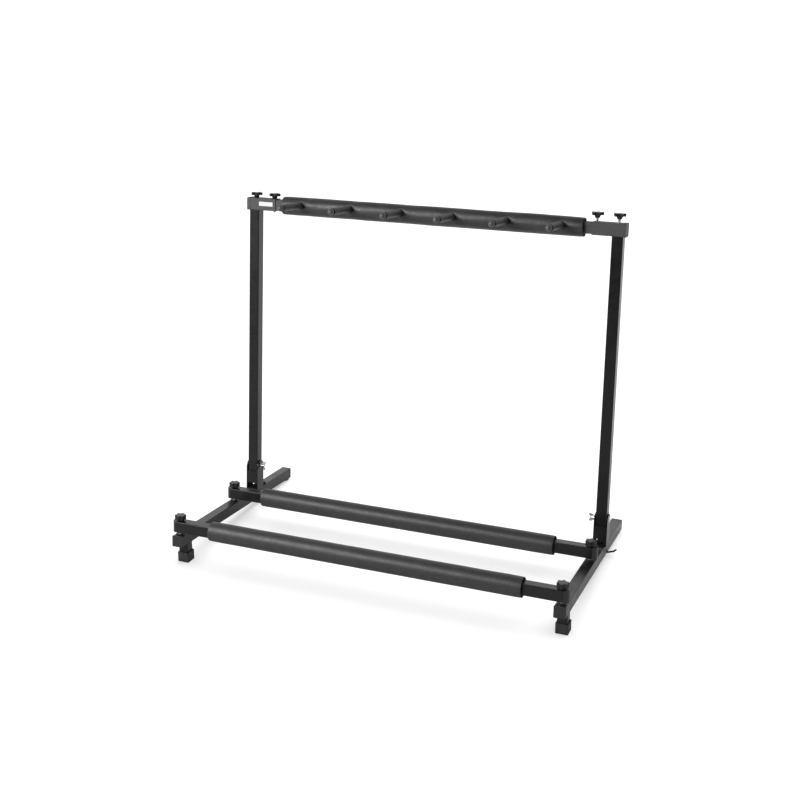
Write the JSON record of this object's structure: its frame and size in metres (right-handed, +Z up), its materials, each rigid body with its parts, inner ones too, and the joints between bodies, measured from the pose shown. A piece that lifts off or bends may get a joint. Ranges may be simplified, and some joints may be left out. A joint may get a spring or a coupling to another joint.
{
  "type": "guitar rack",
  "caption": "Folding floor rack for a row of guitars: square-tube legs, padded floor rails, and posts with a padded neck rail and pegs.",
  "frame": {"origin": "on the floor, under the middle of the rack's outline", "axes": "+X across the rack to the right as seen from the front, +Y from the front to the rear, +Z up"},
  "size_m": [0.9368, 0.544, 0.7875],
  "materials": {
    "black_steel": "fine-textured black powder coat, semi-matt",
    "foam": "smooth-skinned black closed-cell foam",
    "black_rubber": "matt moulded black rubber",
    "black_plastic": "moulded black nylon, satin",
    "grey_nylon": "moulded dark grey nylon, fine-textured",
    "zinc_steel": "bright zinc plate",
    "label": "blank silver-white sticker"
  },
  "bodies": {
    "base_frame": {"left_leg_tube": "black_steel", "right_leg_tube": "black_steel", "left_foot_tube": "black_steel", "right_foot_tube": "black_steel", "left_rubber_foot": "black_rubber", "right_rubber_foot": "black_rubber", "left_leg_front_cap": "black_plastic", "right_leg_front_cap": "black_plastic", "left_leg_rear_plug": "black_plastic", "right_leg_rear_plug": "black_plastic", "left_rear_pad": "black_rubber", "right_rear_pad": "black_rubber", "front_rail_tube": "black_steel", "rear_rail_tube": "black_steel", "front_rail_end_plugs": "black_plastic", "rear_rail_end_plugs": "black_plastic", "front_rail_foam": "foam", "rear_rail_foam": "foam", "rail_bolts": "zinc_steel", "rail_bolt_nuts": "zinc_steel", "rail_bolt_washers": "black_plastic", "left_hinge_bracket": "black_steel", "right_hinge_bracket": "black_steel", "bracket_screws": "black_steel", "bracket_screw_nuts": "zinc_steel", "clamp_bolts": "zinc_steel", "pivot_bolts": "zinc_steel", "pivot_washers": "zinc_steel"},
    "upper_frame": {"left_post_tube": "black_steel", "right_post_tube": "black_steel", "post_bottom_plugs": "black_plastic", "post_top_plugs": "black_plastic", "pivot_sleeves": "zinc_steel", "left_rail_socket": "grey_nylon", "right_rail_socket": "grey_nylon", "left_socket_cap": "grey_nylon", "right_socket_cap": "grey_nylon", "rail_clamp_nuts": "zinc_steel", "neck_rail_tube": "black_steel", "peg_rods": "black_steel", "peg_sleeves": "black_rubber", "peg_tips": "black_plastic", "neck_rail_foam": "foam", "blank_label": "label"},
    "front_left_rail_knob": {"front_left_rail_knob": "black_plastic"},
    "front_right_rail_knob": {"front_right_rail_knob": "black_plastic"},
    "rear_left_rail_knob": {"rear_left_rail_knob": "black_plastic"},
    "rear_right_rail_knob": {"rear_right_rail_knob": "black_plastic"},
    "left_wing_nut": {"left_wing_nut": "zinc_steel"},
    "left_clamp_lever": {"left_clamp_lever": "black_steel"},
    "left_outer_star_knob": {"left_outer_star_knob": "black_plastic", "left_outer_stud": "zinc_steel"},
    "left_inner_star_knob": {"left_inner_star_knob": "black_plastic", "left_inner_stud": "zinc_steel"},
    "right_wing_nut": {"right_wing_nut": "zinc_steel"},
    "right_clamp_lever": {"right_clamp_lever": "black_steel"},
    "right_outer_star_knob": {"right_outer_star_knob": "black_plastic", "right_outer_stud": "zinc_steel"},
    "right_inner_star_knob": {"right_inner_star_knob": "black_plastic", "right_inner_stud": "zinc_steel"}
  },
  "joints": [
    {"name": "upper_frame_fold", "type": "hinge", "parent": "base_frame", "child": "upper_frame", "pos_m": [0, 0.10334, 0.10174], "axis": [1, 0, 0], "range_deg": [0, 90]},
    {"name": "front_left_rail_knob_turn", "type": "hinge", "parent": "base_frame", "child": "front_left_rail_knob", "pos_m": [-0.4375, -0.24921, 0.10294], "axis": [0, 0.0806, 0.9968], "continuous": true},
    {"name": "front_right_rail_knob_turn", "type": "hinge", "parent": "base_frame", "child": "front_right_rail_knob", "pos_m": [0.4375, -0.24921, 0.10294], "axis": [0, 0.0806, 0.9968], "continuous": true},
    {"name": "rear_left_rail_knob_turn", "type": "hinge", "parent": "base_frame", "child": "rear_left_rail_knob", "pos_m": [-0.4375, -0.00251, 0.08301], "axis": [0, 0.0806, 0.9968], "continuous": true},
    {"name": "rear_right_rail_knob_turn", "type": "hinge", "parent": "base_frame", "child": "rear_right_rail_knob", "pos_m": [0.4375, -0.00251, 0.08301], "axis": [0, 0.0806, 0.9968], "continuous": true},
    {"name": "left_wing_nut_turn", "type": "hinge", "parent": "base_frame", "child": "left_wing_nut", "pos_m": [-0.4202, 0.10334, 0.10174], "axis": [1, 0, 0], "continuous": true},
    {"name": "left_clamp_lever_swing", "type": "hinge", "parent": "base_frame", "child": "left_clamp_lever", "pos_m": [-0.4375, 0.12839, 0.01444], "axis": [0, -0.0806, -0.9968], "range_deg": [0, 40]},
    {"name": "left_outer_star_knob_turn", "type": "hinge", "parent": "upper_frame", "child": "left_outer_star_knob", "pos_m": [-0.4375, 0.15703, 0.76607], "axis": [0, 0.0806, 0.9968], "continuous": true},
    {"name": "left_inner_star_knob_turn", "type": "hinge", "parent": "upper_frame", "child": "left_inner_star_knob", "pos_m": [-0.3895, 0.15703, 0.76607], "axis": [0, 0.0806, 0.9968], "continuous": true},
    {"name": "right_wing_nut_turn", "type": "hinge", "parent": "base_frame", "child": "right_wing_nut", "pos_m": [0.4202, 0.10334, 0.10174], "axis": [-1, 0, 0], "continuous": true},
    {"name": "right_clamp_lever_swing", "type": "hinge", "parent": "base_frame", "child": "right_clamp_lever", "pos_m": [0.4375, 0.12839, 0.01444], "axis": [0, 0.0806, 0.9968], "range_deg": [0, 40]},
    {"name": "right_outer_star_knob_turn", "type": "hinge", "parent": "upper_frame", "child": "right_outer_star_knob", "pos_m": [0.4375, 0.15768, 0.77405], "axis": [0, 0.0806, 0.9968], "continuous": true},
    {"name": "right_inner_star_knob_turn", "type": "hinge", "parent": "upper_frame", "child": "right_inner_star_knob", "pos_m": [0.3895, 0.15768, 0.77405], "axis": [0, 0.0806, 0.9968], "continuous": true}
  ]
}
